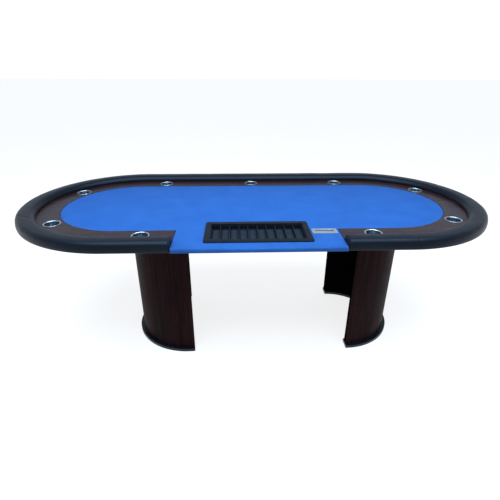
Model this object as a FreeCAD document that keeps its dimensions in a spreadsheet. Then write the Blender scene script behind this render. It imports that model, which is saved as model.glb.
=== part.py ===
"""Poker table for nine players and a dealer, modelled as the pieces it comes apart into.

The top is a deck board with a foam underlay and a stretched playing cloth, a wooden racetrack
with drop-in cup holders, and a padded rail bolted on from below. The front of the rail is open
for the dealer, who has a chip tray and a drop slot. A timber frame under the deck stands on two
half-round legs.

+X is the table's length, -Y the dealer's side and +Z up. The origin is on the floor under the
middle of the top. Lengths are in millimetres.
"""

import FreeCAD, Part
import math
import os
import re

import Sketcher
from FreeCAD import Placement, Rotation, Vector

DIMENSIONS = [
    # The top's outline: straight sides joined by half-round ends.
    ("felt_height", 750, "floor to the face of the playing cloth"),
    ("end_centre", 664, "middle of the table to the centre of each half-round end"),
    ("felt_radius", 355, "half-round end of the playing cloth"),
    ("racetrack_width", 111, "racetrack from the cloth to the rail"),
    ("rail_width", 90, "rail from its inner to its outer face"),
    ("cutout_half", 379, "half the width of the dealer's cut-out"),
    ("dealer_edge", 560, "middle of the table to the dealer's front edge"),
    # Boards and soft layers.
    ("felt_thickness", 1.5, "playing cloth"),
    ("foam_thickness", 4.5, "foam under the cloth"),
    ("deck_thickness", 13, "deck board"),
    ("racetrack_thickness", 7, "racetrack board"),
    ("cloth_gap", 1, "gap between the cloth and the racetrack"),
    ("tuck_length", 25, "cloth folded under the dealer's edge"),
    ("overshoot", 5, "cutting tools run past the boards by this much"),
    # Rail.
    ("rail_height", 32, "crown of the rail above the racetrack"),
    ("rail_inner_round", 30, "rounding of the crown towards the players' cards"),
    ("rail_outer_round", 24, "rounding of the crown towards the players"),
    ("rail_lip", 10, "padding that covers the edges of the boards"),
    ("rail_setback", 2, "rail's end behind the end of the racetrack"),
    ("core_inset", 14, "inner face of the rail to its plywood core"),
    ("core_thickness", 12, "plywood core of the rail"),
    ("core_margin", 4, "outer face of the core to the padding's lip"),
    ("core_gap", 0.5, "core to the padding around it"),
    # Drop-in cup holders.
    ("cup_angle_front", 39, "front end cups, degrees from the table's long axis"),
    ("cup_angle_back", 35, "back end cups, degrees from the table's long axis"),
    ("cup_back", 540, "outer back cups from the middle"),
    ("cup_front", 530, "front cups from the middle"),
    ("cup_flange_radius", 41, "flange of a cup"),
    ("cup_radius", 36, "body of a cup"),
    ("cup_depth", 64, "cup below its flange"),
    ("cup_wall", 1, "steel of a cup"),
    ("cup_flange_thickness", 1.5, "flange above the racetrack"),
    ("cup_rim_bevel", 0.6, "bevel around the flange"),
    ("cup_base_bevel", 1.5, "bevel around the bottom of a cup"),
    ("cup_hole_radius", 37.5, "hole for a cup"),
    # Chip tray.
    ("tray_length", 488, "chip tray along the table"),
    ("tray_width", 234, "chip tray across the table"),
    ("tray_centre", 383, "middle of the table to the middle of the tray"),
    ("tray_rise", 6, "top of the tray above the cloth"),
    ("tray_wall", 2.5, "plastic at the ends of the rows"),
    ("tray_side", 1.5, "plastic beside the outer rows"),
    ("tray_skin", 1.3, "plastic under a row"),
    ("tray_corner", 8, "corner of the tray's flange"),
    ("trough_count", 10, "rows of chips"),
    ("trough_pitch", 43, "one row of chips to the next"),
    ("trough_radius", 20.3, "round bottom of a row"),
    ("trough_length", 176, "length of a row"),
    ("trough_axis_drop", 18, "top of the tray to the centre of a row"),
    ("divider_drop", 8, "top of the tray to the top of a divider"),
    ("tray_clearance", 3, "tray's body to the edge of its hole"),
    # Drop slot.
    ("slot_centre_x", 309, "drop slot along the table"),
    ("slot_centre_y", 386, "drop slot in front of the middle"),
    ("slot_plate_length", 116, "plate along the table"),
    ("slot_plate_width", 56, "plate across the table"),
    ("slot_plate_thickness", 3, "plate above the cloth"),
    ("slot_plate_corner", 4, "corner of the plate"),
    ("slot_length", 88, "slot along the table"),
    ("slot_width", 11, "slot across the table"),
    ("slot_offset", 7, "slot behind the middle of its plate"),
    ("slot_dish_width", 42, "sunk face of the plate"),
    ("slot_dish_depth", 1.6, "sunk face below the rim"),
    ("slot_collar_depth", 24, "collar through the deck"),
    ("slot_collar_wall", 4, "collar beyond each end of the slot"),
    ("slot_collar_inset", 2, "collar inside each side of the sunk face"),
    ("slot_clearance", 1, "collar to the edge of its hole"),
    ("slot_screw_x", 52, "plate screws from the middle of the plate, along it"),
    ("slot_screw_y", 19, "plate screws from the middle of the plate, across it"),
    # Frame under the deck.
    ("beam_centre", 190, "middle of the table to the centre of each beam"),
    ("beam_width", 40, "beams and cross members"),
    ("beam_depth", 50, "beams and cross members"),
    ("beam_half", 940, "half the length of a beam"),
    ("cross_inner", 400, "inner cross members from the middle"),
    ("cross_outer", 900, "outer cross members from the middle"),
    ("outrigger_reach", 470, "end of an outrigger from the middle"),
    ("outrigger_depth", 32, "outrigger"),
    # Legs.
    ("leg_radius", 295, "outside of a half-round leg"),
    ("leg_thickness", 25, "bent shell of a leg"),
    ("leg_half_gap", 444, "half the clear length between the legs"),
    ("leg_shift", 67, "both legs stand this far along +X"),
    ("leg_turn", 7.6, "left leg turned on its spot, degrees"),
    ("leg_plate_thickness", 18, "half-round plate in the top of a leg"),
    ("foot_ledge", 20, "foot beyond each face of the shell"),
    ("foot_thickness", 16, "foot"),
    # Fasteners.
    ("hole_clearance", 0.25, "fastener to its hole, on the radius"),
    ("bolt_radius", 4, "shank of a bolt"),
    ("bolt_head", 7.5, "corner of a hexagonal head from its axis"),
    ("bolt_head_height", 5.3, "hexagonal head"),
    ("washer_radius", 9.5, "washer"),
    ("washer_thickness", 1.6, "washer"),
    ("rail_bolt_length", 27, "rail bolt above the underside of the deck"),
    ("leg_bolt_length", 55, "leg bolt above its washer"),
    ("screw_radius", 2, "shank of a deck, racetrack or foot screw"),
    ("screw_head", 4, "head of a deck, racetrack or foot screw"),
    ("racetrack_screw_length", 16, "racetrack screw"),
    ("deck_screw_length", 35, "deck screw"),
    ("foot_screw_length", 45, "foot screw"),
    ("frame_screw_radius", 2.5, "shank of a frame screw"),
    ("frame_screw_head", 5, "head of a frame screw"),
    ("frame_screw_length", 70, "frame screw"),
    ("plate_screw_radius", 1.5, "shank of a plate screw"),
    ("plate_screw_head", 3.2, "head of a plate screw"),
    ("plate_screw_length", 14, "plate screw"),
]

doc = FreeCAD.newDocument("PokerTable")
sheet = doc.addObject("Spreadsheet::Sheet", "Dims")
for row, (alias, value, meaning) in enumerate(DIMENSIONS, start=1):
    sheet.set(f"A{row}", meaning)
    sheet.set(f"B{row}", str(value))
    sheet.setAlias(f"B{row}", alias)
doc.recompute()

ALIASES = {alias for alias, _, _ in DIMENSIONS}
NODES = []

# Levels and radii that several pieces share, as formulas of the driving dimensions.
DECK_TOP = "(felt_height - felt_thickness - foam_thickness)"
DECK_BOTTOM = f"({DECK_TOP} - deck_thickness)"
BOARD_TOP = f"({DECK_TOP} + racetrack_thickness)"
BEAM_BOTTOM = f"({DECK_BOTTOM} - beam_depth)"
TRAY_TOP = "(felt_height + tray_rise)"
RAIL_INNER = "(felt_radius + racetrack_width)"
RAIL_OUTER = f"({RAIL_INNER} + rail_width)"
BOARD_OUTER = f"({RAIL_OUTER} - rail_lip)"
BOARD_INNER = "(felt_radius + cloth_gap)"
CUP_RING = "(felt_radius + racetrack_width / 2)"
RAIL_START = "(cutout_half + rail_setback)"

HALF_TURN = Rotation(Vector(0, 0, 1), 180)


# ---------------------------------------------------------------- helpers

def expression(formula):
    """The formula with the sheet's name in front of each of its dimensions."""
    def qualified(match):
        word = match.group()
        return "Dims." + word if word in ALIASES else word
    return re.sub(r"[a-z_]+", qualified, str(formula))


def size(formula):
    """The value of a formula, for code that needs a number."""
    return float(sheet.evalExpression(expression(formula)))


def bind(item, **formulas):
    """Bind properties of an object to formulas of the sheet."""
    for name, formula in formulas.items():
        item.setExpression(name, expression(formula))
    return item


def place(item, x=0, y=0, z=0):
    """Bind an object's position to formulas of the sheet."""
    for axis, formula in (("x", x), ("y", y), ("z", z)):
        item.setExpression(f".Placement.Base.{axis}", expression(formula))
    return item


def node(item, label):
    """Name a finished sub-part and keep it for the export."""
    item.Label = label
    NODES.append(item)
    return item


def box(name, low, length, width, height):
    """A block from its low corner."""
    item = bind(doc.addObject("Part::Box", name), Length=length, Width=width, Height=height)
    return place(item, *low)


def cylinder(name, centre, radius, height, sweep=360, turn=None):
    """A cylinder, or a sector of one, standing on its centre; turn is its rotation."""
    item = doc.addObject("Part::Cylinder", name)
    if turn:
        item.Placement = Placement(Vector(), turn)
    bind(item, Radius=radius, Height=height, Angle=sweep)
    return place(item, *centre)


def fuse(name, pieces):
    """One solid from several."""
    item = doc.addObject("Part::MultiFuse", name)
    item.Shapes = pieces
    item.Refine = True
    return item


def cut(name, base, tools):
    """The base with every tool taken away."""
    tool = tools[0]
    if len(tools) > 1:
        tool = doc.addObject("Part::Compound", name + "_tools")
        tool.Links = tools
    item = doc.addObject("Part::Cut", name)
    item.Base = base
    item.Tool = tool
    item.Refine = True
    return item


def stadium(name, radius, low, thickness):
    """A flat board with half-round ends about the two end centres."""
    middle = box(name + "_middle", ("-end_centre", f"-{radius}", low),
                 "2 * end_centre", f"2 * {radius}", thickness)
    ends = [cylinder(f"{name}_end_{side}", (f"{sign}end_centre", 0, low), radius, thickness)
            for side, sign in (("left", "-"), ("right", ""))]
    return fuse(name, [middle] + ends)


def upright_edges(block):
    """The numbers of a block's upright edges, counted from 1."""
    return [k for k, edge in enumerate(block.Shape.Edges, start=1)
            if abs(edge.tangentAt(edge.FirstParameter).z) > 0.9]


def half_ring(name, centre, outer, inner, thickness, opens, extra_turn=0):
    """A half-round ring; opens is -1 when its mouth faces -X, 1 when it faces +X."""
    turn = Rotation(Vector(0, 0, 1), 90 * opens + extra_turn)
    disc = cylinder(name + "_disc", centre, outer, thickness, 180, turn)
    bore = cylinder(name + "_bore", centre, inner, thickness)
    return cut(name, disc, [bore])


def outline_sketch(body, name, plane, corners):
    """A closed outline on one of the body's own planes; each corner is two formulas."""
    origin_plane = next(o for o in body.Origin.OriginFeatures if o.Role == plane)
    sketch = body.newObject("Sketcher::SketchObject", name)
    sketch.AttachmentSupport = [(origin_plane, "")]
    sketch.MapMode = "FlatFace"
    points = [Vector(size(across), size(up), 0) for across, up in corners]
    for start, end in zip(points, points[1:] + points[:1]):
        sketch.addGeometry(Part.LineSegment(start, end), False)
    for edge, (across, up) in enumerate(corners):
        following = (edge + 1) % len(corners)
        sketch.addConstraint(Sketcher.Constraint("Coincident", edge, 2, following, 1))
        for kind, value, formula in (("DistanceX", points[edge].x, across),
                                     ("DistanceY", points[edge].y, up)):
            index = sketch.addConstraint(Sketcher.Constraint(kind, -1, 1, edge, 1, value))
            sketch.setExpression(f"Constraints[{index}]", expression(formula))
    return sketch


def fastener_group(name, make, places):
    """Identical fasteners, one separate solid at each place, as one object."""
    group = doc.addObject("Part::Feature", name)
    solids = []
    for spot in places:
        solid = make()
        solid.Placement = spot.multiply(solid.Placement)
        solids.append(solid)
    group.Shape = Part.Compound(solids)
    return group


# ---------------------------------------------------------------- fasteners

def hexagonal_bolt(shank_radius, length, head_radius, head_height):
    """A hexagonal bolt pointing up: head below the origin, shank above it."""
    corners = [Vector(head_radius * math.cos(math.radians(60 * k)),
                      head_radius * math.sin(math.radians(60 * k)), -head_height)
               for k in range(7)]
    head = Part.Face(Part.makePolygon(corners)).extrude(Vector(0, 0, head_height))
    shank = Part.makeCylinder(shank_radius, length)
    return head.fuse(shank).removeSplitter().Solids[0]


def flat_screw(shank_radius, length, head_radius):
    """A countersunk screw pointing up, its flat head level with the origin."""
    cone_height = head_radius - shank_radius
    cone = Part.makeCone(head_radius, shank_radius, cone_height)
    shank = Part.makeCylinder(shank_radius, length - cone_height, Vector(0, 0, cone_height))
    return cone.fuse(shank).removeSplitter().Solids[0]


def washer():
    """A flat washer on the origin plane, for either kind of bolt."""
    disc = Part.makeCylinder(size("washer_radius"), size("washer_thickness"))
    return disc.cut(Part.makeCylinder(size("bolt_radius + hole_clearance"),
                                      size("washer_thickness")))


def at(x, y, z, turn=None):
    """A placement from formulas or numbers."""
    return Placement(Vector(size(x), size(y), size(z)), turn or Rotation())


POINT_DOWN = Rotation(Vector(1, 0, 0), 180)
POINT_BACK = Rotation(Vector(1, 0, 0), -90)
POINT_FRONT = Rotation(Vector(1, 0, 0), 90)

def fastener(make_solid, *names):
    """Two makers: one for the fastener, one for the slightly larger hole it sits in.

    The names are the sheet's shank radius, length, head radius and, for a bolt, head height.
    """
    sizes = [size(name) for name in names]
    gap = size("hole_clearance")
    grown = [value + gap for value in sizes[:3]] + sizes[3:]
    return (lambda: make_solid(*sizes)), (lambda: make_solid(*grown))


def around_the_ring(radius, back, end_angles, front):
    """Places on a ring about the table, as pairs of formulas."""
    places = [(x, radius) for x in back]
    for sign in ("-", ""):
        places += [(f"{sign}(end_centre + {radius} * cos({angle}))",
                    f"{radius} * sin({angle})") for angle in end_angles]
        places += [(f"{sign}{x}", f"-{radius}") for x in front]
    return places


RAIL_BOLTS_BACK = (-500, 0, 500)
RAIL_BOLTS_FRONT = (450, 640)
RAIL_BOLTS_END = (-60, 0, 60)
RACETRACK_SCREWS_BACK = (-630, -280, 280, 630)
RACETRACK_SCREWS_FRONT = (460, 620)
RACETRACK_SCREWS_END = (-75, 0, 75)
DECK_SCREWS_ALONG = (-840, -480, -120, 120, 480, 840)
DECK_SCREWS_OUT = (270, 430)

RAIL_BOLT_RING = f"({RAIL_INNER} + rail_width / 2)"
rail_bolt_places = around_the_ring(RAIL_BOLT_RING, RAIL_BOLTS_BACK, RAIL_BOLTS_END,
                                   RAIL_BOLTS_FRONT)
racetrack_screw_places = around_the_ring(CUP_RING, RACETRACK_SCREWS_BACK, RACETRACK_SCREWS_END,
                                         RACETRACK_SCREWS_FRONT)

rail_bolt, rail_bolt_hole = fastener(hexagonal_bolt, "bolt_radius", "rail_bolt_length",
                                     "bolt_head", "bolt_head_height")
leg_bolt, leg_bolt_hole = fastener(hexagonal_bolt, "bolt_radius", "leg_bolt_length",
                                   "bolt_head", "bolt_head_height")
racetrack_screw, racetrack_screw_hole = fastener(flat_screw, "screw_radius",
                                                 "racetrack_screw_length", "screw_head")
deck_screw, deck_screw_hole = fastener(flat_screw, "screw_radius", "deck_screw_length",
                                       "screw_head")
foot_screw, foot_screw_hole = fastener(flat_screw, "screw_radius", "foot_screw_length",
                                       "screw_head")
frame_screw, frame_screw_hole = fastener(flat_screw, "frame_screw_radius", "frame_screw_length",
                                         "frame_screw_head")
plate_screw, plate_screw_hole = fastener(flat_screw, "plate_screw_radius", "plate_screw_length",
                                         "plate_screw_head")

rail_bolt_spots = [at(x, y, f"{DECK_BOTTOM} - washer_thickness") for x, y in rail_bolt_places]
racetrack_screw_spots = [at(x, y, DECK_BOTTOM) for x, y in racetrack_screw_places]
deck_screw_spots = [at(x, f"{sign}beam_centre", DECK_TOP, POINT_DOWN)
                    for sign in ("-", "") for x in DECK_SCREWS_ALONG]
deck_screw_spots += [at(f"{side}cross_inner", f"{sign}{y}", DECK_TOP, POINT_DOWN)
                     for side in ("-", "") for sign in ("-", "") for y in DECK_SCREWS_OUT]
frame_screw_height = f"{DECK_BOTTOM} - beam_depth / 2"
frame_screw_spots = []
for cross in ("-cross_outer", "-cross_inner", "cross_inner", "cross_outer"):
    frame_screw_spots.append(at(cross, "-beam_centre - beam_width / 2", frame_screw_height,
                                POINT_BACK))
    frame_screw_spots.append(at(cross, "beam_centre + beam_width / 2", frame_screw_height,
                                POINT_FRONT))

rail_bolt_holes = fastener_group("rail_bolt_holes", rail_bolt_hole, rail_bolt_spots)
racetrack_screw_holes = fastener_group("racetrack_screw_holes", racetrack_screw_hole,
                                       racetrack_screw_spots)
deck_screw_holes = fastener_group("deck_screw_holes", deck_screw_hole, deck_screw_spots)
frame_screw_holes = fastener_group("frame_screw_holes", frame_screw_hole, frame_screw_spots)

node(fastener_group("RailBolts", rail_bolt, rail_bolt_spots), "rail_bolts")
node(fastener_group("RailWashers", washer, rail_bolt_spots), "rail_washers")
node(fastener_group("RacetrackScrews", racetrack_screw, racetrack_screw_spots),
     "racetrack_screws")
node(fastener_group("DeckScrews", deck_screw, deck_screw_spots), "deck_screws")
node(fastener_group("FrameScrews", frame_screw, frame_screw_spots), "frame_screws")


# ---------------------------------------------------------------- cup holders

cup_places = {
    "cup_holder_front_left": ("-cup_front", f"-{CUP_RING}"),
    "cup_holder_left_front": (f"-end_centre - {CUP_RING} * cos(cup_angle_front)",
                              f"-{CUP_RING} * sin(cup_angle_front)"),
    "cup_holder_left_back": (f"-end_centre - {CUP_RING} * cos(cup_angle_back)",
                             f"{CUP_RING} * sin(cup_angle_back)"),
    "cup_holder_back_left": ("-cup_back", CUP_RING),
    "cup_holder_back_middle": ("0", CUP_RING),
    "cup_holder_back_right": ("cup_back", CUP_RING),
    "cup_holder_right_back": (f"end_centre + {CUP_RING} * cos(cup_angle_back)",
                              f"{CUP_RING} * sin(cup_angle_back)"),
    "cup_holder_right_front": (f"end_centre + {CUP_RING} * cos(cup_angle_front)",
                               f"-{CUP_RING} * sin(cup_angle_front)"),
    "cup_holder_front_right": ("cup_front", f"-{CUP_RING}"),
}


def cup_holder(label, x, y):
    """A spun steel cup that drops into its hole and hangs by a rolled flange."""
    body = doc.addObject("PartDesign::Body", label + "_body")
    profile = outline_sketch(body, label + "_profile", "XZ_Plane", [
        ("0", "-cup_depth"),
        ("cup_radius - cup_base_bevel", "-cup_depth"),
        ("cup_radius", "cup_base_bevel - cup_depth"),
        ("cup_radius", "0"),
        ("cup_flange_radius", "0"),
        ("cup_flange_radius", "cup_flange_thickness - cup_rim_bevel"),
        ("cup_flange_radius - cup_rim_bevel", "cup_flange_thickness"),
        ("cup_radius", "cup_flange_thickness"),
        ("cup_radius - cup_wall", "cup_flange_thickness - cup_wall"),
        ("cup_radius - cup_wall", "cup_wall + cup_base_bevel - cup_depth"),
        ("cup_radius - cup_wall - cup_base_bevel", "cup_wall - cup_depth"),
        ("0", "cup_wall - cup_depth"),
    ])
    spin = body.newObject("PartDesign::Revolution", label + "_spin")
    spin.Profile = profile
    spin.ReferenceAxis = (profile, ["V_Axis"])
    spin.Angle = 360
    body.Tip = spin
    return node(place(body, x, y, BOARD_TOP), label)


def cup_hole(label, x, y):
    """The round hole for one cup, through the racetrack and the deck."""
    return cylinder(label + "_hole", (x, y, f"{DECK_BOTTOM} - overshoot"), "cup_hole_radius",
                    "deck_thickness + racetrack_thickness + 2 * overshoot")


cup_holes = {}
for cup_label, (cup_x, cup_y) in cup_places.items():
    cup_holder(cup_label, cup_x, cup_y)
    cup_holes[cup_label] = cup_hole(cup_label, cup_x, cup_y)


# ---------------------------------------------------------------- chip tray

def tray_row_cylinder(name, index, radius, length):
    """The round bottom of one row: the lower half of a cylinder that lies across the table."""
    item = doc.addObject("Part::Cylinder", f"{name}_{index}")
    item.Placement = Placement(Vector(), POINT_BACK)
    bind(item, Radius=radius, Height=length, Angle=180)
    return place(item, f"({index} - (trough_count - 1) / 2) * trough_pitch",
                 f"-tray_centre - {length} / 2", f"{TRAY_TOP} - trough_axis_drop")


def chip_tray():
    """One moulded tray: a flange on the cloth and ten round-bottomed rows below it."""
    rows = range(int(size("trough_count")))
    well = "(trough_count * trough_pitch)"
    outer_well = f"({well} + 2 * tray_side)"
    outer_length = "(trough_length + 2 * tray_wall)"
    flange = box("tray_flange_blank",
                 ("-tray_length / 2", "-tray_centre - tray_width / 2", "felt_height"),
                 "tray_length", "tray_width", "tray_rise")
    rounded = doc.addObject("Part::Fillet", "tray_flange")
    rounded.Base = flange
    doc.recompute()
    corner = size("tray_corner")
    rounded.Edges = [(k, corner, corner) for k in upright_edges(flange)]
    floor_box = box("tray_body", (f"-{outer_well} / 2", f"-tray_centre - {outer_length} / 2",
                                  f"{TRAY_TOP} - trough_axis_drop"),
                    outer_well, outer_length, "trough_axis_drop")
    shells = [tray_row_cylinder("tray_shell", k, "trough_radius + tray_skin", outer_length)
              for k in rows]
    blank = fuse("tray_blank", [rounded, floor_box] + shells)
    recess = box("tray_recess", (f"-{well} / 2", "-tray_centre - trough_length / 2",
                                 f"{TRAY_TOP} - divider_drop"),
                 well, "trough_length", "divider_drop")
    troughs = [tray_row_cylinder("tray_trough", k, "trough_radius", "trough_length")
               for k in rows]
    slots = [box(f"tray_row_{k}",
                 (f"({k} - (trough_count - 1) / 2) * trough_pitch - trough_radius",
                  "-tray_centre - trough_length / 2", f"{TRAY_TOP} - trough_axis_drop"),
                 "2 * trough_radius", "trough_length", "trough_axis_drop")
             for k in rows]
    return node(cut("ChipTray", blank, [recess] + troughs + slots), "chip_tray")


chip_tray()
TRAY_HOLE_HALF_LENGTH = "(trough_count * trough_pitch / 2 + tray_clearance + tray_wall)"
TRAY_HOLE_HALF_WIDTH = "(trough_length / 2 + tray_clearance + tray_wall)"
HOLE_LOW = f"({DECK_BOTTOM} - overshoot)"
HOLE_HEIGHT = f"(felt_height - {DECK_BOTTOM} + 2 * overshoot)"
tray_hole = box("tray_hole", (f"-{TRAY_HOLE_HALF_LENGTH}",
                              f"-tray_centre - {TRAY_HOLE_HALF_WIDTH}", HOLE_LOW),
                f"2 * {TRAY_HOLE_HALF_LENGTH}", f"2 * {TRAY_HOLE_HALF_WIDTH}", HOLE_HEIGHT)


# ---------------------------------------------------------------- drop slot

SLOT_Y = "(-slot_centre_y)"
COLLAR_LENGTH = "(slot_length + 2 * slot_collar_wall)"
COLLAR_WIDTH = "(slot_dish_width - 2 * slot_collar_inset)"

plate = box("slot_plate", ("slot_centre_x - slot_plate_length / 2",
                           f"{SLOT_Y} - slot_plate_width / 2", "felt_height"),
            "slot_plate_length", "slot_plate_width", "slot_plate_thickness")
plate_edges = doc.addObject("Part::Fillet", "slot_plate_rounded")
plate_edges.Base = plate
doc.recompute()
plate_corner = size("slot_plate_corner")
plate_edges.Edges = [(k, plate_corner, plate_corner) for k in upright_edges(plate)]
collar = box("slot_collar", (f"slot_centre_x - {COLLAR_LENGTH} / 2",
                             f"{SLOT_Y} - {COLLAR_WIDTH} / 2",
                             "felt_height - slot_collar_depth"),
             COLLAR_LENGTH, COLLAR_WIDTH, "slot_collar_depth")
dish = box("slot_dish", ("slot_centre_x - slot_length / 2", f"{SLOT_Y} - slot_dish_width / 2",
                         "felt_height + slot_plate_thickness - slot_dish_depth"),
           "slot_length", "slot_dish_width", "slot_dish_depth")
slot = box("slot_opening", ("slot_centre_x - slot_length / 2",
                            f"{SLOT_Y} + slot_offset - slot_width / 2",
                            "felt_height - slot_collar_depth"),
           "slot_length", "slot_width", "slot_collar_depth + slot_plate_thickness")
slot_screw_spots = [at(f"slot_centre_x {along} slot_screw_x", f"{SLOT_Y} {across} slot_screw_y",
                       "felt_height + slot_plate_thickness", POINT_DOWN)
                    for along in "-+" for across in "-+"]
slot_screw_holes = fastener_group("slot_screw_holes", plate_screw_hole, slot_screw_spots)
node(fastener_group("SlotScrews", plate_screw, slot_screw_spots), "drop_slot_screws")
node(cut("DropSlot", fuse("slot_blank", [plate_edges, collar]), [dish, slot, slot_screw_holes]),
     "drop_slot_plate")
slot_hole = box("slot_hole", (f"slot_centre_x - {COLLAR_LENGTH} / 2 - slot_clearance",
                              f"{SLOT_Y} - {COLLAR_WIDTH} / 2 - slot_clearance", HOLE_LOW),
                f"{COLLAR_LENGTH} + 2 * slot_clearance", f"{COLLAR_WIDTH} + 2 * slot_clearance",
                HOLE_HEIGHT)


# ---------------------------------------------------------------- deck, foam and cloth

def dealer_apron(name, front, low, thickness):
    """The part of a layer that runs forward through the dealer's cut-out."""
    return box(name, ("cloth_gap - cutout_half", f"-{front}", low),
               "2 * (cutout_half - cloth_gap)", front, thickness)


APRON_FRONT = "(dealer_edge - felt_thickness)"
deck = fuse("deck_blank", [
    stadium("deck_oval", BOARD_OUTER, DECK_BOTTOM, "deck_thickness"),
    dealer_apron("deck_apron", APRON_FRONT, DECK_BOTTOM, "deck_thickness")])
node(cut("DeckBoard", deck, [tray_hole, slot_hole, rail_bolt_holes, racetrack_screw_holes,
                             deck_screw_holes, slot_screw_holes] + list(cup_holes.values())),
     "deck_board")

foam = fuse("foam_blank", [
    stadium("foam_oval", "felt_radius", DECK_TOP, "foam_thickness"),
    dealer_apron("foam_apron", APRON_FRONT, DECK_TOP, "foam_thickness")])
node(cut("FoamUnderlay", foam, [tray_hole, slot_hole, slot_screw_holes]), "foam_underlay")

CLOTH_LOW = "(felt_height - felt_thickness)"
CLOTH_BOTTOM = f"({DECK_BOTTOM} - felt_thickness)"
cloth_front = dealer_apron("cloth_apron", "dealer_edge", CLOTH_LOW, "felt_thickness")
cloth_drop = box("cloth_drop", ("cloth_gap - cutout_half", "-dealer_edge", CLOTH_BOTTOM),
                 "2 * (cutout_half - cloth_gap)", "felt_thickness",
                 f"felt_height - {CLOTH_BOTTOM}")
cloth_tuck = box("cloth_tuck", ("cloth_gap - cutout_half", "-dealer_edge", CLOTH_BOTTOM),
                 "2 * (cutout_half - cloth_gap)", "tuck_length", "felt_thickness")
cloth = fuse("cloth_blank", [stadium("cloth_oval", "felt_radius", CLOTH_LOW, "felt_thickness"),
                             cloth_front, cloth_drop, cloth_tuck])
node(cut("PlayingCloth", cloth, [tray_hole, slot_hole, slot_screw_holes]), "playing_cloth")


# ---------------------------------------------------------------- racetrack and rail core

def ring_sections(prefix, inner, outer, low, thickness, front_start, tools):
    """A board that follows the table's edge, in the five sections it is cut from."""
    width = f"({outer} - {inner})"
    straight = f"(end_centre - {front_start})"
    blanks = {
        "back": box(prefix + "_back_blank", ("-end_centre", inner, low),
                    "2 * end_centre", width, thickness),
        "left": half_ring(prefix + "_left_blank", ("-end_centre", 0, low), outer, inner,
                          thickness, 1),
        "right": half_ring(prefix + "_right_blank", ("end_centre", 0, low), outer, inner,
                           thickness, -1),
        "front_left": box(prefix + "_front_left_blank", ("-end_centre", f"-{outer}", low),
                          straight, width, thickness),
        "front_right": box(prefix + "_front_right_blank", (front_start, f"-{outer}", low),
                           straight, width, thickness),
    }
    for section, blank in blanks.items():
        node(cut(f"{prefix}_{section}_cut", blank, tools[section]), f"{prefix}_{section}")


section_of_cup = {"front_left": ["front_left"], "front_right": ["front_right"],
                  "back": ["back_left", "back_middle", "back_right"],
                  "left": ["left_front", "left_back"], "right": ["right_front", "right_back"]}
racetrack_tools = {section: [cup_holes["cup_holder_" + cup] for cup in cups]
                   + [rail_bolt_holes, racetrack_screw_holes]
                   for section, cups in section_of_cup.items()}
ring_sections("racetrack", BOARD_INNER, BOARD_OUTER, DECK_TOP, "racetrack_thickness",
              "cutout_half", racetrack_tools)

CORE_INNER = f"({RAIL_INNER} + core_inset)"
CORE_OUTER = f"({BOARD_OUTER} - core_margin)"
CORE_START = f"({RAIL_START} + core_inset)"
ring_sections("rail_core", CORE_INNER, CORE_OUTER, BOARD_TOP, "core_thickness", CORE_START,
              {section: [rail_bolt_holes] for section in section_of_cup})


# ---------------------------------------------------------------- rail cushions

CROWN = f"({BOARD_TOP} + rail_height)"
ROUNDING_ANGLES = (0, 30, 60, 90)


def crown_rounding(face, inward, radius):
    """The rounding between an upright face of the rail and its crown."""
    return [(f"{face} {inward} {radius} * (1 - cos({angle}))",
             f"{CROWN} - {radius} * (1 - sin({angle}))") for angle in ROUNDING_ANGLES]


CAVITY_TOP = f"{BOARD_TOP} + core_thickness + core_gap"
CUSHION_PROFILE = [
    (RAIL_INNER, BOARD_TOP),
    *crown_rounding(RAIL_INNER, "+", "rail_inner_round"),
    *reversed(crown_rounding(RAIL_OUTER, "-", "rail_outer_round")),
    (RAIL_OUTER, DECK_BOTTOM),
    (BOARD_OUTER, DECK_BOTTOM),
    (BOARD_OUTER, BOARD_TOP),
    (f"{CORE_OUTER} + core_gap", BOARD_TOP),
    (f"{CORE_OUTER} + core_gap", CAVITY_TOP),
    (f"{CORE_INNER} - core_gap", CAVITY_TOP),
    (f"{CORE_INNER} - core_gap", BOARD_TOP),
]


def cushion_body(section):
    """A body with the rail's cross-section standing on its YZ plane."""
    body = doc.addObject("PartDesign::Body", f"rail_cushion_{section}_body")
    profile = outline_sketch(body, f"rail_cushion_{section}_profile", "YZ_Plane",
                             CUSHION_PROFILE)
    return body, profile


def straight_cushion(section, start, length, turned):
    """A straight run of the rail from start along +X, or turned to the dealer's side."""
    body, profile = cushion_body(section)
    profile.setExpression(".AttachmentOffset.Base.z", expression(start))
    pad = body.newObject("PartDesign::Pad", f"rail_cushion_{section}_pad")
    pad.Profile = profile
    pad.setExpression("Length", expression(length))
    body.Tip = pad
    if turned:
        body.Placement = Placement(Vector(), HALF_TURN)
    return body


def end_cushion(section, turned):
    """The half-round run of the rail at one end of the table."""
    body, profile = cushion_body(section)
    profile.setExpression(".AttachmentOffset.Base.z", expression("end_centre"))
    spin = body.newObject("PartDesign::Revolution", f"rail_cushion_{section}_spin")
    spin.Profile = profile
    spin.ReferenceAxis = (profile, ["V_Axis"])
    spin.Angle = 180
    spin.Reversed = True
    body.Tip = spin
    if turned:
        body.Placement = Placement(Vector(), HALF_TURN)
    return body


END_WALL = "(core_inset - core_gap)"


def end_wall(section, low_x):
    """The padding that closes the rail's end in front of the core."""
    return box(f"rail_cushion_{section}_wall", (low_x, f"-{BOARD_OUTER}", BOARD_TOP),
               END_WALL, f"{BOARD_OUTER} - {RAIL_INNER} - core_gap", "core_thickness + core_gap")


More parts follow.
